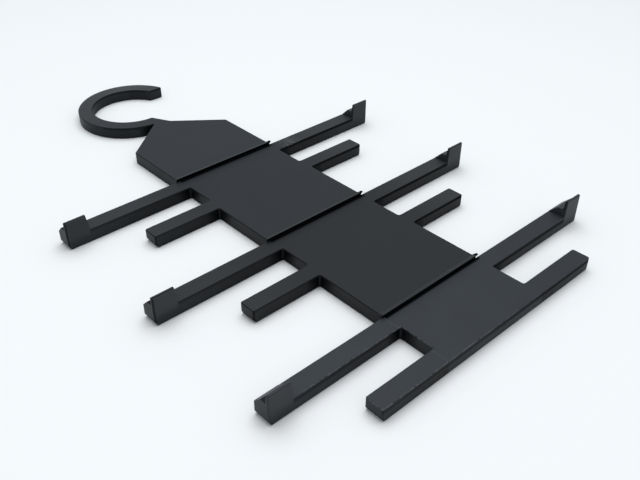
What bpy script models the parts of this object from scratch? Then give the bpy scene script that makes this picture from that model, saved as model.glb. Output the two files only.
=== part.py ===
"""Slide-together tie rack.

Four flat mouldings lie in one plane: a plate that ends in a C-shaped hook, two
extension modules and an end module. Each module has two long arms with upright
end stops and two short bars below them. A dovetail tongue on a module's upper
edge slides sideways into a groove in the piece above, under that piece's lip.
"""

from math import asin, atan2, cos, pi, radians, sin, sqrt, tan, tau

import bmesh
import bpy
from mathutils import Matrix, Vector

# Sheet
THICKNESS = 0.0078
EDGE_CHAMFER = 0.0004

# Modules, measured from the upper edge of the arms
EXTENSION_MODULES = 2
MODULE_PITCH = 0.0854
PANEL_WIDTH = 0.0721
WAIST_WIDTH = 0.0703
ARM_SPAN = 0.2321
ARM_WIDTH = 0.01055
SLOT_GAP = 0.0198
BAR_SPAN = 0.1594
BAR_WIDTH = 0.01055

# Corner radii in plan
TIP_RADIUS = 0.0012
SLOT_RADIUS = 0.0010
PANEL_RADIUS = 0.0005

# Sloped lower part of the end faces of arms and bars
UNDERCUT_REACH = 0.0015
UNDERCUT_HEIGHT = 0.0026

# Stops at the tips of the arms
STOP_HEIGHT = 0.0099
STOP_THICKNESS = 0.0018
STOP_LENGTH = 0.0137
STOP_LEAN = 0.0012
WEDGE_SLOPE = radians(45)
WEDGE_SETBACK = 0.0002
SHELF_HEIGHT = 0.0048

# Hook plate, measured from the seam below it
PLATE_WIDTH = 0.0728
LEFT_SHOULDER_HEIGHT = 0.0490
RIGHT_SHOULDER_HEIGHT = 0.0485
SHOULDER_RADIUS = 0.0020
ROOF_APEX = Vector((-0.0013, 0.0789))
HOOK_CENTRE = Vector((-0.0016, 0.1123))
HOOK_INNER_RADIUS = 0.0265
HOOK_BAND = 0.00985
HOOK_TIP_RISE = 0.0118
HOOK_TIP_RADIUS = 0.0008
NECK_ANGLE = radians(272.6)
NECK_FOOT = 0.0064
NECK_FOOT_RADIUS = 0.0080
CREVICE_RADIUS = 0.0004

# Sliding seam; each piece stands one step to the right of the piece above
SEAM_GAP = 0.00035
SEAM_STEP = 0.00045
TONGUE_DEPTH = 0.0046
TONGUE_ROOT = 0.0026
TONGUE_TIP = 0.0044
TONGUE_CLEARANCE = 0.0003
GROOVE_END_WALL = 0.0020
LIP_HEIGHT = 0.0023
LIP_REACH = 0.0010
LIP_TOP = 0.0015
LIP_OVERHANG_LEFT = 0.0011
LIP_INSET_RIGHT = 0.0002

# Facets
CORNER_STEPS = 5
ARC_STEP = radians(5)
SMOOTH_ANGLE = radians(35)

# Overrun of a cut, and sinking of a fused piece, past the face it starts from
OVERRUN = 0.0010

PLASTIC_COLOUR = (0.036, 0.041, 0.044, 1.0)
PLASTIC_ROUGHNESS = 0.55

BAR_TOP = ARM_WIDTH + SLOT_GAP
BAR_FRONT = BAR_TOP + BAR_WIDTH
HOOK_OUTER_RADIUS = HOOK_INNER_RADIUS + HOOK_BAND
HOOK_TOP = HOOK_CENTRE.y + HOOK_OUTER_RADIUS
FRONT_END = EXTENSION_MODULES * MODULE_PITCH + BAR_FRONT
FIRST_SEAM = (FRONT_END - HOOK_TOP) / 2
ALONG_X = Matrix(((0, 0, 1, 0), (1, 0, 0, 0), (0, 1, 0, 0), (0, 0, 0, 1)))
ALONG_Y = Matrix(((1, 0, 0, 0), (0, 0, 1, 0), (0, 1, 0, 0), (0, 0, 0, 1)))


def clear_scene():
    """Take every object out of the open scene."""
    for item in list(bpy.data.objects):
        bpy.data.objects.remove(item)


def plastic(name):
    """Matte charcoal plastic."""
    material = bpy.data.materials.new(name)
    material.use_nodes = True
    shader = material.node_tree.nodes["Principled BSDF"]
    shader.inputs["Base Color"].default_value = PLASTIC_COLOUR
    shader.inputs["Roughness"].default_value = PLASTIC_ROUGHNESS
    shader.inputs["Metallic"].default_value = 0.0
    return material


def arc(centre, radius, start, end, steps):
    """Points round a centre from one angle to another."""
    angles = [start + (end - start) * step / steps for step in range(steps + 1)]
    return [centre + radius * Vector((cos(angle), sin(angle))) for angle in angles]


def rounded(corners):
    """Outline through (point, radius) corners, each radius drawn as a tangent arc."""
    outline = []
    for index, (corner, radius) in enumerate(corners):
        if radius == 0.0:
            outline.append(corner)
            continue
        back = (corners[index - 1][0] - corner).normalized()
        ahead = (corners[(index + 1) % len(corners)][0] - corner).normalized()
        half = back.angle(ahead) / 2
        centre = corner + (back + ahead).normalized() * radius / sin(half)
        first = corner + back * radius / tan(half) - centre
        last = corner + ahead * radius / tan(half) - centre
        start = atan2(first.y, first.x)
        sweep = (atan2(last.y, last.x) - start + pi) % tau - pi
        outline += arc(centre, radius, start, start + sweep, CORNER_STEPS)
    return outline


def mirrored(right_corners):
    """Both sides of an outline, from its right side read top to bottom."""
    left_corners = [(Vector((-point.x, point.y)), radius) for point, radius in right_corners]
    return right_corners + left_corners[::-1]


def prism(outline, low, high, frame=None):
    """Closed straight body on an outline, from one height to another."""
    body = bmesh.new()
    base = body.faces.new([body.verts.new((x, y, low)) for x, y in outline])
    raised = bmesh.ops.extrude_face_region(body, geom=[base])["geom"]
    top = [item for item in raised if isinstance(item, bmesh.types.BMVert)]
    bmesh.ops.translate(body, verts=top, vec=(0, 0, high - low))
    if frame is not None:
        bmesh.ops.transform(body, matrix=frame, verts=body.verts)
    bmesh.ops.recalc_face_normals(body, faces=body.faces)
    return body


def chamfer_rim(body, height):
    """Chamfer the edges that lie at one height."""
    tolerance = EDGE_CHAMFER / 10
    rim = [edge for edge in body.edges
           if all(abs(vert.co.z - height) < tolerance for vert in edge.verts)]
    bmesh.ops.bevel(body, geom=rim, offset=EDGE_CHAMFER, segments=1, affect="EDGES")


def slice_off(body, point, normal):
    """Cut away what lies beyond a plane and close the cut."""
    whole = body.verts[:] + body.edges[:] + body.faces[:]
    cut = bmesh.ops.bisect_plane(body, geom=whole, plane_co=point, plane_no=normal,
                                 clear_outer=True)["geom_cut"]
    rim = [item for item in cut if isinstance(item, bmesh.types.BMEdge)]
    bmesh.ops.edgeloop_fill(body, edges=rim)
    bmesh.ops.recalc_face_normals(body, faces=body.faces)


def place(name, mesh):
    """Put a mesh in the scene as an object of that name."""
    item = bpy.data.objects.new(name, mesh)
    bpy.context.scene.collection.objects.link(item)
    return item


def to_object(name, body):
    """Turn an edit mesh into an object."""
    mesh = bpy.data.meshes.new(name)
    body.to_mesh(mesh)
    body.free()
    return place(name, mesh)


def combine(name, base, additions, cuts):
    """One mesh: the base with the additions fused on and the cuts taken out."""
    sheet = to_object(name, base)
    tools = []
    for operation, bodies in (("UNION", additions), ("DIFFERENCE", cuts)):
        for body in bodies:
            tools.append(to_object("tool", body))
            step = sheet.modifiers.new(operation.title(), "BOOLEAN")
            step.operation = operation
            step.solver = "EXACT"
            step.object = tools[-1]
    graph = bpy.context.evaluated_depsgraph_get()
    mesh = bpy.data.meshes.new_from_object(sheet.evaluated_get(graph))
    mesh.name = name
    for helper in [sheet, *tools]:
        bpy.data.objects.remove(helper)
    mesh.shade_smooth()
    mesh.set_sharp_from_angle(angle=SMOOTH_ANGLE)
    return mesh


def sheet_body(outline):
    """The flat sheet, chamfered on its upper and lower rims."""
    body = prism(outline, 0.0, THICKNESS)
    chamfer_rim(body, THICKNESS)
    chamfer_rim(body, 0.0)
    return body


def stop_plate(side):
    """Upright plate on the front wall of an arm's tip, with a leaning inner edge."""
    tip = side * ARM_SPAN / 2
    foot = side * (ARM_SPAN / 2 - STOP_LENGTH)
    inner = foot - side * STOP_LEAN
    top = THICKNESS + STOP_HEIGHT
    outline = rounded([
        (Vector((tip, -ARM_WIDTH)), TIP_RADIUS),
        (Vector((tip, -ARM_WIDTH + STOP_THICKNESS)), 0.0),
        (Vector((inner, -ARM_WIDTH + STOP_THICKNESS)), 0.0),
        (Vector((inner, -ARM_WIDTH)), 0.0),
    ])
    plate = prism(outline, THICKNESS - OVERRUN, top)
    chamfer_rim(plate, top)
    slice_off(plate, (foot, 0, THICKNESS), (-side * STOP_HEIGHT, 0, STOP_LEAN))
    return plate


def stop_wedge(side):
    """Web behind a stop plate that slopes up from the arm's far edge to a level shelf."""
    tip = side * ARM_SPAN / 2
    foot = side * (ARM_SPAN / 2 - STOP_LENGTH)
    inside_plate = -ARM_WIDTH + STOP_THICKNESS / 2
    outline = rounded([
        (Vector((tip, 0)), TIP_RADIUS),
        (Vector((foot, 0)), 0.0),
        (Vector((foot, inside_plate)), 0.0),
        (Vector((tip, inside_plate)), 0.0),
    ])
    wedge = prism(outline, THICKNESS - OVERRUN, THICKNESS + SHELF_HEIGHT)
    slice_off(wedge, (0, -WEDGE_SETBACK, THICKNESS), (0, sin(WEDGE_SLOPE), cos(WEDGE_SLOPE)))
    return wedge


def undercut(side, span, back, front):
    """Cut that slopes the lower part of the end face of an arm or bar."""
    end = span / 2
    overrun = UNDERCUT_REACH / UNDERCUT_HEIGHT * OVERRUN
    profile = [
        (side * (end - UNDERCUT_REACH - overrun), -OVERRUN),
        (side * (end + overrun), UNDERCUT_HEIGHT + OVERRUN),
        (side * (end + overrun), -OVERRUN),
    ]
    return prism(profile, -front - OVERRUN, -back + OVERRUN, ALONG_Y)


def undercuts():
    """Cuts under all ends of a module's arms and bars."""
    ends = ((ARM_SPAN, 0.0, ARM_WIDTH), (BAR_SPAN, BAR_TOP, BAR_FRONT))
    return [undercut(side, *end) for side in (1, -1) for end in ends]


def dovetail(clearance, start, end):
    """Dovetail along X in a seam, grown by a clearance."""
    middle = THICKNESS / 2
    flare = (TONGUE_TIP - TONGUE_ROOT) / 2 / TONGUE_DEPTH
    root = TONGUE_ROOT / 2 - flare * OVERRUN + clearance
    tip = TONGUE_TIP / 2 + flare * clearance + clearance
    profile = [
        (-OVERRUN, middle - root),
        (TONGUE_DEPTH + clearance, middle - tip),
        (TONGUE_DEPTH + clearance, middle + tip),
        (-OVERRUN, middle + root),
    ]
    return prism(profile, start, end, ALONG_X)


def tongue():
    """Dovetail tongue on a module's upper edge."""
    left = -PANEL_WIDTH / 2 - SEAM_STEP
    right = PANEL_WIDTH / 2 - SEAM_STEP
    return dovetail(0.0, left + GROOVE_END_WALL + TONGUE_CLEARANCE, right - TONGUE_CLEARANCE)


def groove(seam):
    """Dovetail groove for the next tongue, walled at the left and open at the right."""
    start = -PANEL_WIDTH / 2 + GROOVE_END_WALL
    cut = dovetail(TONGUE_CLEARANCE, start, PLATE_WIDTH / 2 + OVERRUN)
    bmesh.ops.translate(cut, verts=cut.verts, vec=(0, seam, 0))
    return cut


def lip(seam, width):
    """Raised lip over a seam, undercut in front and ramped behind."""
    top = THICKNESS + LIP_HEIGHT
    undercut = (LIP_REACH + SEAM_GAP) / LIP_HEIGHT
    ramp_end = LIP_TOP - LIP_REACH + LIP_HEIGHT
    profile = [
        (SEAM_GAP + undercut * OVERRUN, THICKNESS - OVERRUN),
        (-LIP_REACH, top),
        (LIP_TOP - LIP_REACH, top),
        (ramp_end, THICKNESS),
        (ramp_end, THICKNESS - OVERRUN),
    ]
    ridge = prism(profile, -width / 2 - LIP_OVERHANG_LEFT, width / 2 - LIP_INSET_RIGHT, ALONG_X)
    bmesh.ops.translate(ridge, verts=ridge.verts, vec=(0, seam, 0))
    return ridge


def crevice(centre, roof_apex, downhill):
    """Small fillet where the outside of the hook meets the left side of the roof."""
    uphill_normal = Vector((downhill.y, -downhill.x))
    offset = roof_apex + uphill_normal * CREVICE_RADIUS - centre
    along = offset.dot(downhill)
    reach = HOOK_OUTER_RADIUS + CREVICE_RADIUS
    travel = -along + sqrt(along ** 2 - offset.length_squared + reach ** 2)
    middle = centre + offset + downhill * travel
    to_hook = centre - middle
    start = atan2(to_hook.y, to_hook.x)
    end = atan2(-uphill_normal.y, -uphill_normal.x)
    sweep = (end - start + pi) % tau - pi
    return arc(middle, CREVICE_RADIUS, start, start + sweep, CORNER_STEPS)


def hook_arc(radius, start, end):
    """Points of one side of the hook's band."""
    steps = round(abs(end - start) / ARC_STEP)
    return arc(HOOK_CENTRE, radius, start, end, steps)


def hook_plate_outline():
    """Five-sided plate that runs up into a hook open to the right."""
    edge = PLATE_WIDTH / 2
    shoulder = Vector((-edge, LEFT_SHOULDER_HEIGHT))
    fillet = crevice(HOOK_CENTRE, ROOF_APEX, (shoulder - ROOF_APEX).normalized())
    fillet_start = fillet[0] - HOOK_CENTRE
    inner = hook_arc(HOOK_INNER_RADIUS, NECK_ANGLE, asin(HOOK_TIP_RISE / HOOK_INNER_RADIUS))
    outer = hook_arc(HOOK_OUTER_RADIUS, asin(HOOK_TIP_RISE / HOOK_OUTER_RADIUS),
                     atan2(fillet_start.y, fillet_start.x) + tau)
    right_shoulder = Vector((edge, RIGHT_SHOULDER_HEIGHT))
    down_roof = (NECK_FOOT - ROOF_APEX.x) / (edge - ROOF_APEX.x)
    corners = [
        (Vector((edge, SEAM_GAP)), PANEL_RADIUS),
        (right_shoulder, SHOULDER_RADIUS),
        (ROOF_APEX.lerp(right_shoulder, down_roof), NECK_FOOT_RADIUS),
    ]
    corners += [(point, 0.0) for point in inner[:-1]]
    corners += [(inner[-1], HOOK_TIP_RADIUS), (outer[0], HOOK_TIP_RADIUS)]
    corners += [(point, 0.0) for point in outer[1:] + fillet[1:]]
    corners += [
        (shoulder, SHOULDER_RADIUS),
        (Vector((-edge, SEAM_GAP)), PANEL_RADIUS),
    ]
    return rounded(corners)


def arm_and_bar_corners():
    """Right side of a module from its upper edge to the front of its bar."""
    waist = WAIST_WIDTH / 2
    return [
        (Vector((ARM_SPAN / 2, 0)), TIP_RADIUS),
        (Vector((ARM_SPAN / 2, -ARM_WIDTH)), TIP_RADIUS),
        (Vector((waist, -ARM_WIDTH)), SLOT_RADIUS),
        (Vector((waist, -BAR_TOP)), SLOT_RADIUS),
        (Vector((BAR_SPAN / 2, -BAR_TOP)), TIP_RADIUS),
        (Vector((BAR_SPAN / 2, -BAR_FRONT)), TIP_RADIUS),
    ]


def extension_outline():
    """Arms, bars and the panel that runs on to the next seam."""
    panel_corners = [
        (Vector((PANEL_WIDTH / 2, -BAR_FRONT)), SLOT_RADIUS),
        (Vector((PANEL_WIDTH / 2, -MODULE_PITCH + SEAM_GAP)), PANEL_RADIUS),
    ]
    return rounded(mirrored(arm_and_bar_corners() + panel_corners))


def stops():
    """Plates and wedges at both tips of a module."""
    return [make(side) for side in (1, -1) for make in (stop_plate, stop_wedge)]


def hook_plate_mesh():
    """Hook plate with its lip and groove."""
    sheet = sheet_body(hook_plate_outline())
    return combine("hook_plate", sheet, [lip(0.0, PLATE_WIDTH)], [groove(0.0)])


def extension_mesh():
    """Extension module with its stops, tongue, lip and groove."""
    fused = stops() + [tongue(), lip(-MODULE_PITCH, PANEL_WIDTH)]
    cuts = undercuts() + [groove(-MODULE_PITCH)]
    return combine("extension_module", sheet_body(extension_outline()), fused, cuts)


def end_mesh():
    """End module, whose panel stops at the front of its bar."""
    sheet = sheet_body(rounded(mirrored(arm_and_bar_corners())))
    return combine("end_module", sheet, stops() + [tongue()], undercuts())


def add_node(name, mesh, location, parent=None):
    """Place one piece of the rack with a material of its own."""
    item = place(name, mesh)
    item.location = location
    item.parent = parent
    mesh.materials.clear()
    mesh.materials.append(None)
    item.material_slots[0].link = "OBJECT"
    item.material_slots[0].material = plastic(name + "_plastic")
    return item


def build():
    """Build the rack from the hook down."""
    clear_scene()
    left = -(EXTENSION_MODULES / 2 + 1) * SEAM_STEP
    upper = add_node("hook_plate", hook_plate_mesh(), (left, FIRST_SEAM, 0))
    extension = extension_mesh()
    step = Vector((SEAM_STEP, 0, 0))
    for number in range(1, EXTENSION_MODULES + 1):
        upper = add_node(f"extension_module_{number}", extension, step, upper)
        step = Vector((SEAM_STEP, -MODULE_PITCH, 0))
    add_node("end_module", end_mesh(), step, upper)


build()
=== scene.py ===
"""Dress the slide-together tie rack in charcoal plastic, on a pale floor in soft studio light."""

import logging
import math
from dataclasses import dataclass
from enum import Enum
from typing import Any, Mapping, Sequence

import bmesh
import bpy
from mathutils import Euler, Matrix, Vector


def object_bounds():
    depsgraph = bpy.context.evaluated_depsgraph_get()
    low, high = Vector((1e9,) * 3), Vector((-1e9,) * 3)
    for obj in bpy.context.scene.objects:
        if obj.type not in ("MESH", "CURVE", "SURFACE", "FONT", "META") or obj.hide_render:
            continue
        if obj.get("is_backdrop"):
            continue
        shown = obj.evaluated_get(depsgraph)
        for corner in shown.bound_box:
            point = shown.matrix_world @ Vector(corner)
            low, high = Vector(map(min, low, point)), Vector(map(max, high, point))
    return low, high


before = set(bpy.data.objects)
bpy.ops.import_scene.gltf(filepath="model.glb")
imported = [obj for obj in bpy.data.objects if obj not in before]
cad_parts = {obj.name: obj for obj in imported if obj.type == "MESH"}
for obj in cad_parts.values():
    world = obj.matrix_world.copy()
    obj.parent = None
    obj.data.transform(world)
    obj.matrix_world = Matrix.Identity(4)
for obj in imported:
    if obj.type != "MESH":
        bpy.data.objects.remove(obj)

LOG = logging.getLogger("tie_rack")

Triple = tuple[float, float, float]
Pair = tuple[float, float]

# A corner sharper than this keeps its crease; rounded corners and the hook are shaded round
CREASE_ANGLE = math.radians(35)
# Corners of neighbouring triangles closer than this are one corner
WELD_DISTANCE = 0.00001
# A hair's breadth, to tell what lies on a face from what stands on it
HAIR = 0.0002

# How much of a face's direction makes it face a way, lie level or turn to the back
FACING = 0.5
LEVEL = 0.9
BACKWARD = 0.1
# The same for a chamfer or ramp that looks up, and for a rounded corner between left and front
SLANTED = (0.60, 0.80)
ROUNDED = (-0.92, -0.38)
# From where to where a face passes from tilted to upright, and from upright to looking down
UPRIGHT = (0.60, 0.20)
UNDERSIDE = (-0.20, -0.40)


def srgb(red: int, green: int, blue: int) -> Triple:
    """Turn a screen colour into the linear colour that a shader takes.

    Args:
        red: Red from 0 to 255.
        green: Green from 0 to 255.
        blue: Blue from 0 to 255.

    Returns:
        The linear colour.
    """
    def linear(level: int) -> float:
        """Return one linear channel."""
        share = level / 255
        return share / 12.92 if share <= 0.04045 else ((share + 0.055) / 1.055) ** 2.4

    return linear(red), linear(green), linear(blue)


class Wire:
    """A node's output on which Python's operators add Math nodes."""

    def __init__(self, graph: "Graph", socket: bpy.types.NodeSocket) -> None:
        """Wrap a socket.

        Args:
            graph: The graph that the socket's node belongs to.
            socket: The output socket.
        """
        self.graph = graph
        self.socket = socket

    def _math(self, operation: str, first: "Wire | float", second: "Wire | float") -> "Wire":
        """Add one Math node and return its result."""
        settings = {"operation": operation}
        return self.graph.node("ShaderNodeMath", settings, {0: first, 1: second})

    def __add__(self, other: "Wire | float") -> "Wire":
        """Return self + other."""
        return self._math("ADD", self, other)

    def __radd__(self, other: float) -> "Wire":
        """Return other + self."""
        return self._math("ADD", other, self)

    def __sub__(self, other: "Wire | float") -> "Wire":
        """Return self - other."""
        return self._math("SUBTRACT", self, other)

    def __rsub__(self, other: float) -> "Wire":
        """Return other - self."""
        return self._math("SUBTRACT", other, self)

    def __mul__(self, other: "Wire | float") -> "Wire":
        """Return self * other."""
        return self._math("MULTIPLY", self, other)

    def __rmul__(self, other: float) -> "Wire":
        """Return other * self."""
        return self._math("MULTIPLY", other, self)

    def __abs__(self) -> "Wire":
        """Return the value without its sign."""
        return self._math("ABSOLUTE", self, 0.0)

    def __gt__(self, other: "Wire | float") -> "Wire":
        """Return 1 where self is greater than other and 0 elsewhere."""
        return self._math("GREATER_THAN", self, other)

    def __lt__(self, other: "Wire | float") -> "Wire":
        """Return 1 where self is less than other and 0 elsewhere."""
        return self._math("LESS_THAN", self, other)


class Graph:
    """A node tree that is filled through one method."""

    def __init__(self, tree: bpy.types.NodeTree) -> None:
        """Wrap a node tree.

        Args:
            tree: The material's, world's or modifier's tree.
        """
        self.tree = tree

    def node(
        self,
        kind: str,
        settings: Mapping[str, Any] | None = None,
        inputs: Mapping[str | int, Any] | None = None,
        output: str | int = 0,
    ) -> Wire:
        """Add a node, set it up and feed its sockets.

        Args:
            kind: The node's type name.
            settings: Properties to set first; "stops" sets a ramp's stops.
            inputs: Socket names or numbers with a value or a wire each.
            output: Name or number of the output to return.

        Returns:
            The chosen output.
        """
        made = self.tree.nodes.new(kind)
        for name, value in (settings or {}).items():
            if name == "stops":
                self._set_stops(made.color_ramp, value)
            else:
                setattr(made, name, value)
        for name, value in (inputs or {}).items():
            self.feed(made.inputs[name], value)
        return Wire(self, made.outputs[output])

    def feed(self, socket: bpy.types.NodeSocket, value: Any) -> None:
        """Give a socket a value or a wire.

        Args:
            socket: The input socket.
            value: A wire, a number, a vector or a colour.
        """
        if isinstance(value, Wire):
            self.tree.links.new(value.socket, socket)
        elif socket.type == "RGBA" and len(value) == 3:
            socket.default_value = (*value, 1.0)
        else:
            socket.default_value = value

    def mix(self, first: Any, second: Any, share: Wire | float) -> Wire:
        """Mix two colours.

        Args:
            first: The colour at share 0.
            second: The colour at share 1.
            share: How much of the second colour shows.

        Returns:
            The mixed colour.
        """
        inputs = {"Factor": share, 6: first, 7: second}
        return self.node("ShaderNodeMix", {"data_type": "RGBA"}, inputs, 2)

    @staticmethod
    def _set_stops(ramp: bpy.types.ColorRamp, stops: Sequence[tuple[float, float]]) -> None:
        """Set a ramp's grey stops.

        Args:
            ramp: The colour ramp.
            stops: The place and the level of each stop.
        """
        while len(ramp.elements) < len(stops):
            ramp.elements.new(1.0)
        for element, (place, level) in zip(ramp.elements, stops):
            element.position = place
            element.color = (level, level, level, 1.0)


class Surface(Graph):
    """The graph of a material, with its Principled shader at hand."""

    def __init__(self, name: str) -> None:
        """Make a material.

        Args:
            name: The material's name.
        """
        self.material = bpy.data.materials.new(name)
        self.material.use_nodes = True
        super().__init__(self.material.node_tree)
        self.shader = self.tree.nodes["Principled BSDF"]

    def set(self, **values: Any) -> None:
        """Feed the shader's sockets, named with underscores for spaces.

        Args:
            **values: A value or wire for each socket.
        """
        for name, value in values.items():
            self.feed(self.shader.inputs[name.replace("_", " ")], value)


class Skin(Surface):
    """A surface that is tinted mark by mark, by the place and the facing of its points."""

    def __init__(self, name: str, seat: Pair = (0.0, 0.0)) -> None:
        """Make the material and take the place and the facing of its points.

        Args:
            name: The material's name.
            seat: Where the moulding's own origin lies in the rack, along X and Y.
        """
        super().__init__(name)
        spot = self.node("ShaderNodeTexCoord", output="Object")
        settings = {"operation": "SUBTRACT"}
        self.place = self.node("ShaderNodeVectorMath", settings, {0: spot, 1: (*seat, 0.0)})
        self.x, self.y, self.z = self._parts(self.place)
        facing = self.node("ShaderNodeNewGeometry", output="True Normal")
        self.side, self.front, self.up = self._parts(facing)
        self.colour: Any = None
        self.painted_shade_share: Any = 0.0

    def _parts(self, vector: Wire) -> tuple[Wire, Wire, Wire]:
        """Split a vector in its parts.

        Args:
            vector: The vector.

        Returns:
            The parts along X, Y and Z.
        """
        first = self.node("ShaderNodeSeparateXYZ", inputs={0: vector})
        others = first.socket.node.outputs
        return first, Wire(self, others[1]), Wire(self, others[2])

    def ramp(self, value: Wire, start: float, end: float) -> Wire:
        """Rise evenly from 0 to 1 while a value goes from start to end.

        Args:
            value: The value.
            start: Where the ramp is 0.
            end: Where the ramp is 1.

        Returns:
            The ramp, held at 0 and 1 outside it.
        """
        inputs = {"Value": value, "From Min": start, "From Max": end}
        return self.node("ShaderNodeMapRange", inputs=inputs)

    def between(self, value: Wire, low: float, high: float) -> Wire:
        """Mark where a value lies between two others.

        Args:
            value: The value.
            low: The lower bound.
            high: The upper bound.

        Returns:
            1 between the bounds and 0 outside them.
        """
        return (value > low) * (value < high)

    def noise(self, scale: float, detail: float = 2.0) -> Wire:
        """Return noise on the moulding, from 0 to 1.

        Args:
            scale: How fine the noise is.
            detail: How many finer layers it has.

        Returns:
            The noise.
        """
        inputs = {"Vector": self.place, "Scale": scale, "Detail": detail}
        return self.node("ShaderNodeTexNoise", inputs=inputs)

    def near(self, x: float, y: float, reach: float) -> Wire:
        """Fade out round an upright line, in plan and on both sides of the middle.

        Args:
            x: The line's distance from the middle.
            y: The line's place along Y.
            reach: The distance at which the fade ends.

        Returns:
            1 at the line and 0 beyond its reach.
        """
        across = abs(self.x) - x
        along = self.y - y
        squared = across * across + along * along
        return self.ramp(squared, reach * reach, 0.0)

    def level(self) -> Wire:
        """Return 1 on level faces that look up."""
        return self.up > LEVEL

    def slanted(self) -> Wire:
        """Return 1 on chamfers and ramps that look up."""
        return self.between(self.up, *SLANTED)

    def wall(self) -> Wire:
        """Return 1 on upright walls and 0 on level faces."""
        return self.ramp(abs(self.up), *UPRIGHT)

    def front_wall(self) -> Wire:
        """Return 1 on upright walls that face the front."""
        return self.wall() * (self.front < -FACING)

    def left_wall(self) -> Wire:
        """Return 1 on upright walls that face left."""
        return self.wall() * (self.side < -FACING)

    def tint(self, colour: Triple, share: Wire | float) -> None:
        """Mix a colour into the skin.

        Args:
            colour: The colour.
            share: Where and how much of it shows.
        """
        self.colour = self.mix(self.colour, colour, share)

    def paint_shade(self, share: Wire | float) -> None:
        """Paint shade on the skin, as a dark surface that doesn't shine.

        Args:
            share: Where and how dark the painted shade is.
        """
        deeper = {0: self.painted_shade_share, 1: share}
        self.painted_shade_share = self.node("ShaderNodeMath", {"operation": "MAXIMUM"}, deeper)

    def close(self, painted_shade_colour: Triple) -> None:
        """Lay the painted shade over the plastic and feed the material's output.

        Args:
            painted_shade_colour: The colour of the painted shade, which doesn't shine.
        """
        shade_surface = self.node("ShaderNodeBsdfDiffuse", inputs={"Color": painted_shade_colour})
        plastic = Wire(self, self.shader.outputs[0])
        mixed = self.node("ShaderNodeMixShader", inputs={0: self.painted_shade_share, 1: plastic, 2: shade_surface})
        self.feed(self.tree.nodes["Material Output"].inputs["Surface"], mixed)


@dataclass(frozen=True)
class CharcoalPlastic:
    """Matte charcoal plastic with a fine grain, faint clouds and a few dust specks, and painted
    shade on its walls, at their foot and on faces that look down.
    """

    colour: Triple = srgb(37, 42, 47)
    cloud_colour: Triple = srgb(42, 47, 52)
    # Painted shade on the walls
    wall_shade_colour: Triple = srgb(12, 17, 19)
    # The colour of painted shade, which doesn't shine
    painted_shade_colour: Triple = srgb(1, 2, 4)
    # The colour of painted light and highlights, and also of the scuff and the mould lines
    highlight_and_wear_colour: Triple = srgb(92, 96, 98)
    dust_colour: Triple = srgb(120, 124, 126)
    # Painted shade on the walls, at their foot and on faces that look down
    wall_shade_share: float = 0.46
    foot_height: float = 0.0050
    foot_share: float = 0.35
    underside_depth: float = 0.95
    roughness: float = 0.50
    roughness_spread: float = 0.10
    specular: float = 0.18
    cloud_scale: float = 38.0
    cloud_detail: float = 4.0
    cloud_stops: Pair = (0.35, 0.65)
    grain_scale: float = 1900.0
    grain_depth: float = 0.00002
    dust_scale: float = 120.0
    dust_size: float = 0.045
    dust_patch_scale: float = 24.0
    dust_patch_level: float = 0.62
    dust_share: float = 0.5

    def start(self, skin: Skin, painted_light_level: float) -> None:
        """Lay down the plain plastic, with painted shade on its walls, darker at their foot, and
        painted black shade where it faces down.

        Args:
            skin: The skin to colour.
            painted_light_level: How light this moulding is painted beside the others, as painted
                light and shade, 1 for the usual plastic.
        """
        clouds = self._clouds(skin)
        plain = tuple(channel * painted_light_level for channel in self.colour)
        cloudy = tuple(channel * painted_light_level for channel in self.cloud_colour)
        skin.colour = skin.mix(plain, cloudy, clouds)
        wall = skin.wall()
        skin.tint(self.wall_shade_colour, wall * self.wall_shade_share)
        foot = skin.ramp(skin.z, self.foot_height, 0.0)
        skin.tint(self.painted_shade_colour, wall * foot * self.foot_share)
        skin.paint_shade(skin.ramp(skin.up, *UNDERSIDE) * self.underside_depth)
        low = self.roughness - self.roughness_spread / 2
        skin.set(Roughness=clouds * self.roughness_spread + low)

    def finish(self, skin: Skin) -> None:
        """Strew the dust, press in the grain and lay the painted shade over it.

        Args:
            skin: The skin with all its marks.
        """
        skin.tint(self.dust_colour, self._dust(skin))
        grain = {"Height": skin.noise(self.grain_scale), "Distance": self.grain_depth}
        skin.set(
            Base_Color=skin.colour,
            Specular_IOR_Level=self.specular,
            Normal=skin.node("ShaderNodeBump", inputs=grain),
        )
        skin.close(self.painted_shade_colour)

    def _clouds(self, skin: Skin) -> Wire:
        """Make broad soft patches.

        Args:
            skin: The skin that they lie on.

        Returns:
            The patches, from 0 to 1.
        """
        clear, cloudy = self.cloud_stops
        patches = {"Fac": skin.noise(self.cloud_scale, self.cloud_detail)}
        stops = ((clear, 0.0), (cloudy, 1.0))
        return skin.node("ShaderNodeValToRGB", {"stops": stops}, patches)

    def _dust(self, skin: Skin) -> Wire:
        """Make sparse dust specks.

        Args:
            skin: The skin that they lie on.

        Returns:
            How strongly the dust shows.
        """
        cells = {"Vector": skin.place, "Scale": self.dust_scale, "Randomness": 1.0}
        near = skin.node("ShaderNodeTexVoronoi", {"feature": "F1"}, cells, "Distance")
        patch = skin.noise(self.dust_patch_scale) > self.dust_patch_level
        return (near < self.dust_size) * patch * self.dust_share


class Crease(Enum):
    """Which part of a mesh the soft shading marks."""

    SKIN = "FACE"
    EDGE = "EDGE"


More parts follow.
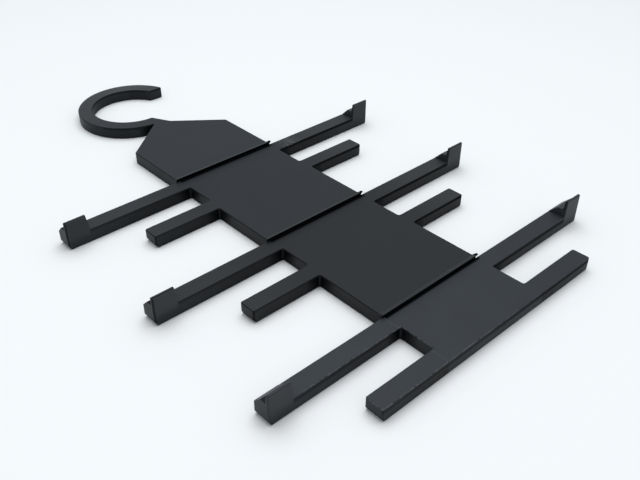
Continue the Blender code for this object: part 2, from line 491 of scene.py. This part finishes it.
@dataclass(frozen=True)
class SoftShading:
    """Shades rounded corners smooth while flat faces and chamfers stay crisp."""

    crease_angle: float = CREASE_ANGLE
    weld_distance: float = WELD_DISTANCE

    def group(self) -> bpy.types.NodeTree:
        """Build the geometry nodes that weld a mesh and mark what is smooth.

        Returns:
            The node group.
        """
        tree = bpy.data.node_groups.new("soft_shading", "GeometryNodeTree")
        for way in ("INPUT", "OUTPUT"):
            tree.interface.new_socket("Geometry", in_out=way, socket_type="NodeSocketGeometry")
        graph = Graph(tree)
        mesh = graph.node("NodeGroupInput")
        inputs = {"Geometry": mesh, "Distance": self.weld_distance}
        welded = graph.node("GeometryNodeMergeByDistance", inputs=inputs)
        skin = self._shade(graph, welded, Crease.SKIN, True, True)
        angle = graph.node("GeometryNodeInputMeshEdgeAngle")
        sharp = graph.node("FunctionNodeCompare", {"operation": "GREATER_THAN"},
                           {0: angle, 1: self.crease_angle})
        shaded = self._shade(graph, skin, Crease.EDGE, sharp, False)
        end = tree.nodes.new("NodeGroupOutput")
        graph.feed(end.inputs[0], shaded)
        return tree

    def _shade(self, graph: Graph, mesh: Wire, part: Crease, chosen: Any, smooth: bool) -> Wire:
        """Mark the chosen faces or edges smooth or sharp."""
        inputs = {"Geometry": mesh, "Selection": chosen, "Shade Smooth": smooth}
        return graph.node("GeometryNodeSetShadeSmooth", {"domain": part.value}, inputs)

    def apply(self, piece: bpy.types.Object, group: bpy.types.NodeTree) -> None:
        """Put the soft shading on a piece.

        Args:
            piece: The object to shade.
            group: The node group from this class.
        """
        piece.modifiers.new("soft_shading", "NODES").node_group = group
        weigh = piece.modifiers.new("flat_faces_first", "WEIGHTED_NORMAL")
        weigh.mode = "FACE_AREA"
        weigh.keep_sharp = True


@dataclass(frozen=True)
class RackSizes:
    """The rack's sizes that the marks on its skin follow."""

    # Where the rack ends at the front
    front: float
    thickness: float = 0.0078
    chamfer: float = 0.0004
    # From seam to seam, and how far each moulding stands to the right of the one above
    pitch: float = 0.0854
    seam_step: float = 0.00045
    centred_row: int = 2
    last_row: int = 3
    plate_width: float = 0.0728
    panel_width: float = 0.0721
    waist_width: float = 0.0703
    arm_width: float = 0.01055
    slot_gap: float = 0.0198
    bar_width: float = 0.01055
    # How far from the middle the end stops begin
    stop_start: float = 0.1024
    stop_height: float = 0.0099
    stop_thickness: float = 0.0018
    shelf_height: float = 0.0048

    @property
    def bar_front(self) -> float:
        """Return where the front of the bars lies from the seam of their module."""
        return -self.arm_width - self.slot_gap - self.bar_width

    @property
    def shelf_top(self) -> float:
        """Return the height of the shelf behind a stop."""
        return self.thickness + self.shelf_height

    def seat(self, row: int) -> Pair:
        """Find a moulding's own origin, at the middle of its seam.

        Args:
            row: The moulding's row, from the hook plate at 0 to the end module.

        Returns:
            The origin's place in the rack along X and Y.
        """
        sideways = (row - self.centred_row) * self.seam_step
        seams_in_front = self.last_row - max(row, 1)
        return sideways, self.front - self.bar_front + self.pitch * seams_in_front


@dataclass(frozen=True)
class Lip:
    """The raised lip over a seam, with its painted light and shade."""

    # Painted highlight on the lip's top, painted light on its back and painted shade on its blunt
    # right end
    light: float
    back_share: float = 0.16
    reach: float = 0.0040
    blunt: float = 0.0024
    end_depth: float = 0.9

    def mark(
        self,
        skin: Skin,
        plastic: CharcoalPlastic,
        seam: float,
        right_end: float,
        foot: float,
    ) -> None:
        """Paint a highlight on the lip's top and light on its back, and paint shade on its blunt
        right end.

        Args:
            skin: The skin of the moulding that has the lip.
            plastic: The finish.
            seam: Where the lip lies along Y.
            right_end: Where it ends along X.
            foot: The height that it stands on.
        """
        over_seam = skin.between(skin.y, seam - self.reach, seam + self.reach)
        lip = over_seam * (skin.z > foot + HAIR)
        skin.tint(plastic.highlight_and_wear_colour, lip * skin.level() * self.light)
        skin.tint(plastic.highlight_and_wear_colour, lip * skin.slanted() * self.back_share)
        skin.paint_shade(lip * (skin.x > right_end - self.blunt) * self.end_depth)


@dataclass
class Moulding:
    """One moulding of the rack, shown by its CAD node."""

    sizes: RackSizes
    node: str
    row: int
    # How light the moulding is painted beside the others, as painted light and shade
    painted_light_level: float
    # Painted shade on the chamfer round the upper rim
    rim_shade: float = 0.80
    rim_depth: float = 0.5
    # Painted shade as a dark line on the front walls, and how dark it is at the left and at the
    # right
    line_height: float = 0.0069
    line_spread: float = 0.0012
    line_shares: Pair = (0.28, 1.0)
    line_fade: Pair = (-0.04, 0.04)
    # Painted shade on the walls that face left, up to this distance from the middle
    left_wall_end: float = 0.045
    left_wall_share: float = 0.36

    def dress(
        self,
        plastic: CharcoalPlastic,
        shading: SoftShading,
        group: bpy.types.NodeTree,
    ) -> bpy.types.Object:
        """Give the moulding its plastic and its soft edges.

        Args:
            plastic: The finish.
            shading: The edge shading.
            group: The node group of that shading.

        Returns:
            The dressed object.
        """
        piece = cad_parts[self.node]
        skin = Skin(f"{self.node}_plastic", self.sizes.seat(self.row))
        plastic.start(skin, self.painted_light_level)
        self.mark(skin, plastic)
        plastic.finish(skin)
        for holder in piece.material_slots:
            holder.material = skin.material
        shading.apply(piece, group)
        return piece

    def mark(self, skin: Skin, plastic: CharcoalPlastic) -> None:
        """Paint shade on the chamfer round the upper rim, on a line below it and on the left
        walls.

        Args:
            skin: The moulding's skin.
            plastic: The finish.
        """
        rim = self._rim(skin)
        skin.tint(plastic.painted_shade_colour, rim * self.rim_shade)
        left, right = self.line_shares
        share = skin.ramp(skin.x, *self.line_fade) * (right - left) + left
        line = skin.ramp(abs(skin.z - self.line_height), self.line_spread, 0.0)
        skin.paint_shade(line * share * skin.front_wall() * (abs(skin.x) < self.sizes.stop_start))
        skin.paint_shade(rim * (skin.front < -FACING) * share * self.rim_depth)
        inner = skin.left_wall() * (abs(skin.x) < self.left_wall_end)
        skin.tint(plastic.painted_shade_colour, inner * self.left_wall_share)

    def _rim(self, skin: Skin) -> Wire:
        """Find the chamfer at the front and the sides of the upper rim.

        Args:
            skin: The moulding's skin.

        Returns:
            1 on that chamfer and 0 elsewhere.
        """
        top = self.sizes.thickness
        height = skin.between(skin.z, top - self.sizes.chamfer - HAIR, top + HAIR)
        return skin.slanted() * height * (skin.front < BACKWARD)


@dataclass
class HookPlate(Moulding):
    """The plate that runs up into the hook."""

    node: str = "hook_plate"
    row: int = 0
    # How light the plate is painted, as painted light and shade
    painted_light_level: float = 0.95
    line_height: float = 0.0071
    line_shares: Pair = (0.55, 0.55)
    lip: Lip = Lip(light=0.16)
    # Painted light: the ring's top grows lighter upwards, and its tip to the right as well
    ring_fade: Pair = (0.0760, 0.1500)
    ring_share: float = 0.17
    tip_fade_up: Pair = (0.120, 0.145)
    tip_fade_right: Pair = (-0.020, 0.010)
    tip_share: float = 0.18
    # Painted shade in the corner between the ring and the roof at the left
    crevice: Pair = (0.0080, 0.0735)
    crevice_reach: float = 0.0090
    crevice_depth: float = 0.8

    def mark(self, skin: Skin, plastic: CharcoalPlastic) -> None:
        """Paint light on the top of the ring and paint shade on its wall where it meets the roof.

        Args:
            skin: The moulding's skin.
            plastic: The finish.
        """
        super().mark(skin, plastic)
        self.lip.mark(skin, plastic, 0.0, self.sizes.plate_width / 2, self.sizes.thickness)
        top = skin.level()
        ring = skin.ramp(skin.y, *self.ring_fade)
        skin.tint(plastic.highlight_and_wear_colour, ring * top * self.ring_share)
        tip = skin.ramp(skin.y, *self.tip_fade_up) * skin.ramp(skin.x, *self.tip_fade_right)
        skin.tint(plastic.highlight_and_wear_colour, tip * top * self.tip_share)
        crevice = skin.near(*self.crevice, self.crevice_reach) * (skin.x < 0.0)
        skin.paint_shade(crevice * skin.wall() * self.crevice_depth)


@dataclass
class ArmModule(Moulding):
    """A moulding with two long arms, end stops and two short bars."""

    # Painted shadow in the strip under the lip of the piece above, and painted shade fading out
    # before it
    seam_fade: Pair = (-0.0034, -0.0016)
    seam_depth: float = 0.90
    fade_start: float = -0.0065
    seam_shade_share: float = 0.30
    # Painted shade round the inner corners, and the light edge that each keeps
    root_reach: float = 0.0110
    root_depth: float = 0.66
    corner_reach: float = 0.0011
    # Painted shade on arms and bars inwards, and painted light outwards
    arm_root: float = 0.0365
    arm_fade: Pair = (0.085, 0.035)
    arm_shade: float = 0.60
    arm_depth: float = 0.22
    arm_tip_fade: Pair = (0.075, 0.110)
    arm_tip_light: float = 0.08
    left_top_fade: Pair = (-0.045, -0.075)
    left_top_light: float = 0.08
    right_top_fade: Pair = (0.04, 0.07)
    right_top_light: float = 0.12
    # Painted shade on the rounded front corners at the left tips
    left_tips: float = -0.06
    left_tip_depth: float = 0.55
    # Painted light on the upright plates of the stops, which grow lighter across the top of the
    # sheet
    plate_fade: Pair = (-0.004, 0.001)
    plate_share: float = 0.17
    plate_rim: float = 0.0008
    plate_rim_share: float = 0.25
    # Painted light on the webs and shelves behind those plates, and painted shade in the joints
    # behind the right plates and on the left shelves
    web_span: Pair = (0.0600, 0.1150)
    web_share: float = 0.14
    groove_reach: float = 0.0007
    groove_depth: float = 0.75
    shelf_share: float = 0.22
    pocket_depth: float = 0.6

    def mark(self, skin: Skin, plastic: CharcoalPlastic) -> None:
        """Paint light and shade on the arms and bars, the seam behind them and their stops.

        Args:
            skin: The moulding's skin.
            plastic: The finish.
        """
        super().mark(skin, plastic)
        self._mark_arms(skin, plastic)
        self._mark_roots(skin)
        self._mark_seam(skin, plastic)
        # Painted shade on the rounded front corners at the left tips
        tips = skin.wall() * skin.between(skin.side, *ROUNDED) * (skin.front < ROUNDED[1])
        skin.paint_shade(tips * (skin.x < self.left_tips) * self.left_tip_depth)
        self._mark_stop_plates(skin, plastic)
        self._mark_webs(skin, plastic)

    def roots(self) -> tuple[Pair, ...]:
        """Find the inner corners where arms and bars leave the panel.

        Returns:
            The distance from the middle and the place along Y of each.
        """
        arm_corner = (self.sizes.waist_width / 2, -self.sizes.arm_width)
        bar_corner = (self.sizes.panel_width / 2, self.sizes.bar_front)
        return arm_corner, bar_corner

    def _mark_arms(self, skin: Skin, plastic: CharcoalPlastic) -> None:
        """Paint shade on the walls towards the panel, and paint light on tops and walls towards
        the tips.

        Args:
            skin: The moulding's skin.
            plastic: The finish.
        """
        out = abs(skin.x)
        wall = skin.wall()
        inward = skin.ramp(out, *self.arm_fade) * wall * (out > self.arm_root)
        skin.tint(plastic.painted_shade_colour, inward * self.arm_shade)
        skin.paint_shade(inward * self.arm_depth)
        left = skin.ramp(skin.x, *self.left_top_fade) * self.left_top_light
        right = skin.ramp(skin.x, *self.right_top_fade) * self.right_top_light
        skin.tint(plastic.highlight_and_wear_colour, (left + right) * skin.level())
        tips = skin.ramp(out, *self.arm_tip_fade) * wall * (skin.z < self.sizes.thickness)
        skin.tint(plastic.highlight_and_wear_colour, tips * self.arm_tip_light)

    def _mark_roots(self, skin: Skin) -> None:
        """Paint shade on the walls round the inner corners, but not on the corners' own edges.

        Args:
            skin: The moulding's skin.
        """
        wall = skin.wall()
        for x, y in self.roots():
            root = skin.near(x, y, self.root_reach)
            corner = skin.near(x, y, self.corner_reach)
            skin.paint_shade(root * (1.0 - corner) * wall * self.root_depth)

    def _mark_seam(self, skin: Skin, plastic: CharcoalPlastic) -> None:
        """Paint the shadow of the lip of the piece above as a black strip, with painted shade
        fading out before it.

        Args:
            skin: The moulding's skin.
            plastic: The finish.
        """
        top = (skin.up > FACING) * (abs(skin.x) < self.sizes.panel_width / 2)
        skin.paint_shade(skin.ramp(skin.y, *self.seam_fade) * top * self.seam_depth)
        seam_shade_fade = skin.ramp(skin.y, self.fade_start, self.seam_fade[1])
        skin.tint(plastic.painted_shade_colour, seam_shade_fade * top * self.seam_shade_share)

    def _mark_stop_plates(self, skin: Skin, plastic: CharcoalPlastic) -> None:
        """Paint light on the fronts of the stop plates, most of all at their upper edge.

        Args:
            skin: The moulding's skin.
            plastic: The finish.
        """
        top = self.sizes.thickness
        front = skin.front_wall() * (abs(skin.x) > self.sizes.stop_start)
        low, high = self.plate_fade
        plate = skin.ramp(skin.z, top + low, top + high)
        skin.tint(plastic.highlight_and_wear_colour, plate * front * self.plate_share)
        rim = skin.z > top + self.sizes.stop_height - self.plate_rim
        skin.tint(plastic.highlight_and_wear_colour, rim * front * self.plate_rim_share)

    def _mark_webs(self, skin: Skin, plastic: CharcoalPlastic) -> None:
        """Paint light on the sides of the webs behind the stop plates and on the right shelves,
        and paint shade in the joints behind the right plates and on the left shelves.

        Args:
            skin: The moulding's skin.
            plastic: The finish.
        """
        sizes = self.sizes
        web = skin.left_wall() * skin.between(skin.x, *self.web_span)
        skin.tint(plastic.highlight_and_wear_colour, web * (skin.z > sizes.thickness) * self.web_share)
        behind_plate = abs(skin.y + sizes.arm_width - sizes.stop_thickness) < self.groove_reach
        right_stop = (skin.x > sizes.stop_start) * (skin.z > sizes.thickness + HAIR)
        groove = behind_plate * right_stop * (skin.front > -FACING)
        skin.paint_shade(groove * self.groove_depth)
        raised = skin.level() * (skin.z > sizes.shelf_top - HAIR)
        right_raised = raised * (skin.x > sizes.stop_start)
        skin.tint(plastic.highlight_and_wear_colour, right_raised * self.shelf_share)
        pocket = raised * (skin.z < sizes.shelf_top + HAIR) * (skin.x < 0.0)
        skin.paint_shade(pocket * self.pocket_depth)


@dataclass(frozen=True)
class WearAndHighlightPatches:
    """Noisy patches: scraped plastic for the scuff, and the broken run of the painted edge
    highlights.
    """

    scale: float
    fade: Pair
    detail: float = 3.0

    def patches(self, skin: Skin) -> Wire:
        """Return the patches, from 0 to 1."""
        return skin.ramp(skin.noise(self.scale, self.detail), *self.fade)


@dataclass
class ExtensionModule(ArmModule):
    """A module with a panel that runs on to the next seam."""

    lip: Lip = Lip(light=0.0)
    scuff: WearAndHighlightPatches = WearAndHighlightPatches(520.0, (0.44, 0.60))
    scuff_x: float = 0.0470
    scuff_width: float = 0.0095
    scuff_share: float = 0.0

    def mark(self, skin: Skin, plastic: CharcoalPlastic) -> None:
        """Paint light and shade on the lip, and add the scuff across the root of the right arm if
        there is one.

        Args:
            skin: The moulding's skin.
            plastic: The finish.
        """
        super().mark(skin, plastic)
        right_end = self.sizes.panel_width / 2
        self.lip.mark(skin, plastic, -self.sizes.pitch, right_end, self.sizes.thickness)
        if not self.scuff_share:
            return
        across = skin.ramp(abs(skin.x - self.scuff_x), self.scuff_width, 0.0)
        arm = (skin.up > FACING) * (skin.y > -self.sizes.arm_width)
        scuff = across * arm * self.scuff.patches(skin)
        skin.tint(plastic.highlight_and_wear_colour, scuff * self.scuff_share)


@dataclass
class EndModule(ArmModule):
    """The module whose panel ends at the front of its bars."""

    node: str = "end_module"
    row: int = 3
    # How light the module is painted, as painted light and shade
    painted_light_level: float = 1.27
    rim_shade: float = 0.0
    rim_depth: float = 0.0
    line_height: float = 0.0061
    line_spread: float = 0.0021
    line_shares: Pair = (0.55, 0.85)
    # Painted shadow under the lip above, narrower here
    seam_fade: Pair = (-0.0026, -0.0016)
    seam_shade_share: float = 0.12
    # Painted shade and painted light on the roots, arms and tips
    root_depth: float = 0.74
    arm_shade: float = 0.70
    arm_tip_light: float = 0.02
    left_top_light: float = 0.02
    right_top_light: float = 0.0
    left_tip_depth: float = 0.0
    # Painted shade: the top grows darker to the right
    right_fade: Pair = (-0.04, 0.06)
    right_shade: float = 0.20
    # The fine lines across the arm's and the bar's root at the left
    mould_line_x: float = -0.0367
    mould_line_width: float = 0.00025
    mould_line_share: float = 0.18
    # Painted highlights in patches along the front edges, and how much of them is left at the
    # right
    edge_highlight_patches: WearAndHighlightPatches = WearAndHighlightPatches(700.0, (0.40, 0.60))
    edge_highlight_side_fade: Pair = (0.030, -0.030)
    edge_highlight_right_share: float = 0.25
    edge_highlight_width: float = 0.0007
    edge_highlight_rim_share: float = 0.70
    edge_highlight_bar_share: float = 0.34
    edge_highlight_arm_share: float = 0.17

    def roots(self) -> tuple[Pair, ...]:
        """Return the inner corners of the arms, as the bars have none in front."""
        return super().roots()[:1]

    def mark(self, skin: Skin, plastic: CharcoalPlastic) -> None:
        """Paint shade on the right, add the mould lines at the left and paint highlights along
        the front edges.

        Args:
            skin: The moulding's skin.
            plastic: The finish.
        """
        super().mark(skin, plastic)
        top = skin.level()
        right = skin.ramp(skin.x, *self.right_fade)
        skin.tint(plastic.painted_shade_colour, right * top * self.right_shade)
        line = abs(skin.x - self.mould_line_x) < self.mould_line_width
        arm_front = -self.sizes.arm_width
        slot = skin.between(skin.y, arm_front - self.sizes.slot_gap, arm_front)
        skin.tint(plastic.highlight_and_wear_colour, line * (1.0 - slot) * top * self.mould_line_share)
        self._paint_edge_highlights(skin, plastic)

    def _paint_edge_highlights(self, skin: Skin, plastic: CharcoalPlastic) -> None:
        """Paint highlights in patches along the upper front edges of the arms and bars, more at
        the left.

        Args:
            skin: The moulding's skin.
            plastic: The finish.
        """
        left = skin.ramp(skin.x, *self.edge_highlight_side_fade) * (1.0 - self.edge_highlight_right_share)
        highlight_patches = self.edge_highlight_patches.patches(skin) * (left + self.edge_highlight_right_share)
        skin.tint(plastic.highlight_and_wear_colour, self._rim(skin) * highlight_patches * self.edge_highlight_rim_share)
        bar_front, arm_front = self.sizes.bar_front, -self.sizes.arm_width
        bars = skin.between(skin.y, bar_front, bar_front + self.edge_highlight_width)
        arms = skin.between(skin.y, arm_front, arm_front + self.edge_highlight_width)
        arms = arms * (abs(skin.x) > self.sizes.waist_width / 2)
        strips = bars * self.edge_highlight_bar_share + arms * self.edge_highlight_arm_share
        skin.tint(plastic.highlight_and_wear_colour, strips * skin.level() * highlight_patches)


@dataclass(frozen=True)
class Softbox:
    """A rectangular studio lamp."""

    name: str
    place: Triple
    width: float
    height: float
    watts: float
    colour: Triple = (1.0, 1.0, 1.0)

    def hang(self, target: Vector) -> bpy.types.Object:
        """Put the lamp in the scene, facing a point.

        Args:
            target: The point that it faces.

        Returns:
            The lamp.
        """
        data = bpy.data.lights.new(self.name, "AREA")
        data.shape = "RECTANGLE"
        data.size = self.width
        data.size_y = self.height
        data.energy = self.watts
        data.color = self.colour
        lamp = bpy.data.objects.new(self.name, data)
        lamp.location = self.place
        lamp.rotation_euler = (target - lamp.location).to_track_quat("-Z", "Y").to_euler()
        bpy.context.scene.collection.objects.link(lamp)
        return lamp


@dataclass(frozen=True)
class Studio:
    """Pale floor, soft light and the camera."""

    floor_side: float = 6.0
    floor_cells: int = 8
    floor_drop: float = 0.0001
    floor_colour: Triple = srgb(243, 246, 248)
    # The floor is painted darker as x plus y grows, as painted shade
    shaded_floor_colour: Triple = srgb(230, 234, 236)
    floor_fade: Pair = (-0.29, 0.55)
    floor_roughness: float = 0.9
    fade_start: float = 0.55
    haze_end: float = 1.00
    sky_colour: Triple = srgb(249, 251, 253)
    sky_strength: float = 0.83
    horizon_share: float = 0.45
    camera_place: Triple = (-0.24911, -0.32417, 0.25090)
    camera_turn: Triple = (math.radians(54.748), math.radians(-0.277), math.radians(-42.676))
    camera_lens: float = 43.413
    sensor_width: float = 36.0
    clip_start: float = 0.01
    lamp: Softbox = Softbox("overhead_box", (0.24, 0.24, 1.28), width=1.2, height=1.2, watts=9.8)

    def lay_floor(self) -> bpy.types.Object:
        """Lay the floor just under the rack.

        Returns:
            The floor.
        """
        body = bmesh.new()
        cells = self.floor_cells
        bmesh.ops.create_grid(body, x_segments=cells, y_segments=cells, size=self.floor_side / 2)
        mesh = bpy.data.meshes.new("floor")
        body.to_mesh(mesh)
        body.free()
        floor = bpy.data.objects.new("floor", mesh)
        floor.location.z = -self.floor_drop
        bpy.context.scene.collection.objects.link(floor)
        surface = Skin("pale_floor")
        # Painted shade: the floor grows darker as x plus y grows
        dim = surface.ramp(surface.x + surface.y, *self.floor_fade)
        colour = surface.mix(self.floor_colour, self.shaded_floor_colour, dim)
        surface.set(
            Base_Color=colour,
            Roughness=self.floor_roughness,
            Specular_IOR_Level=0.0,
        )
        self._fade_out(surface)
        mesh.materials.append(surface.material)
        floor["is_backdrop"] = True
        return floor

    def _fade_out(self, surface: Skin) -> None:
        """Let the far floor fade to the sky's colour, for the camera only.

        Args:
            surface: The floor's surface.
        """
        squared = surface.x * surface.x + surface.y * surface.y
        far = surface.ramp(squared, self.fade_start ** 2, self.haze_end ** 2)
        seen = surface.node("ShaderNodeLightPath", output="Is Camera Ray")
        near = Wire(surface, surface.shader.outputs[0])
        glow = surface.node("ShaderNodeEmission", inputs={"Color": self.sky_colour})
        mixed = surface.node("ShaderNodeMixShader", inputs={0: far * seen, 1: near, 2: glow})
        surface.feed(surface.tree.nodes["Material Output"].inputs["Surface"], mixed)

    def light(self) -> None:
        """Hang the lamp and set the sky, which the camera sees at its plain colour."""
        low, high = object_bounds()
        self.lamp.hang((low + high) / 2)
        world = bpy.data.worlds.new("studio")
        world.use_nodes = True
        graph = Graph(world.node_tree)
        way = graph.node("ShaderNodeTexCoord", output="Generated")
        height = graph.node("ShaderNodeSeparateXYZ", inputs={0: way}, output="Z")
        stops = ((0.0, self.horizon_share), (1.0, 1.0))
        share = graph.node("ShaderNodeValToRGB", {"stops": stops}, {"Fac": height})
        background = world.node_tree.nodes["Background"]
        graph.feed(background.inputs["Color"], self.sky_colour)
        seen = graph.node("ShaderNodeLightPath", output="Is Camera Ray")
        lit = share * self.sky_strength
        graph.feed(background.inputs["Strength"], lit + seen * (1.0 - lit))
        bpy.context.scene.world = world

    def aim_camera(self) -> bpy.types.Object:
        """Place the camera as the photograph was taken.

        Returns:
            The camera.
        """
        data = bpy.data.cameras.new("camera")
        data.sensor_fit = "HORIZONTAL"
        data.sensor_width = self.sensor_width
        data.lens = self.camera_lens
        data.clip_start = self.clip_start
        camera = bpy.data.objects.new("camera", data)
        camera.location = self.camera_place
        camera.rotation_euler = Euler(self.camera_turn)
        bpy.context.scene.collection.objects.link(camera)
        bpy.context.scene.camera = camera
        return camera


def main() -> None:
    """Build the scene and report each piece."""
    logging.basicConfig(level=logging.INFO)
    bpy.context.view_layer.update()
    plastic = CharcoalPlastic()
    shading = SoftShading()
    group = shading.group()
    sizes = RackSizes(front=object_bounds()[0].y)
    # The lips carry painted highlights, plate_share is painted light on the stop plates, and 0.78
    # and 0.58 are how light the extension modules are painted, as painted light and shade
    first_lip = Lip(light=0.10)
    second_lip = Lip(light=0.08, back_share=0.28)
    mouldings = (
        HookPlate(sizes),
        ExtensionModule(sizes, "extension_module_1", 1, 0.78, lip=first_lip, scuff_share=0.55),
        ExtensionModule(sizes, "extension_module_2", 2, 0.58, lip=second_lip, plate_share=0.26),
        EndModule(sizes),
    )
    for moulding in mouldings:
        piece = moulding.dress(plastic, shading, group)
        LOG.info("dressed %s", piece.name)
    studio = Studio()
    studio.lay_floor()
    studio.light()
    studio.aim_camera()
    bpy.context.scene.view_settings.view_transform = "Standard"


if __name__ == "__main__":
    main()
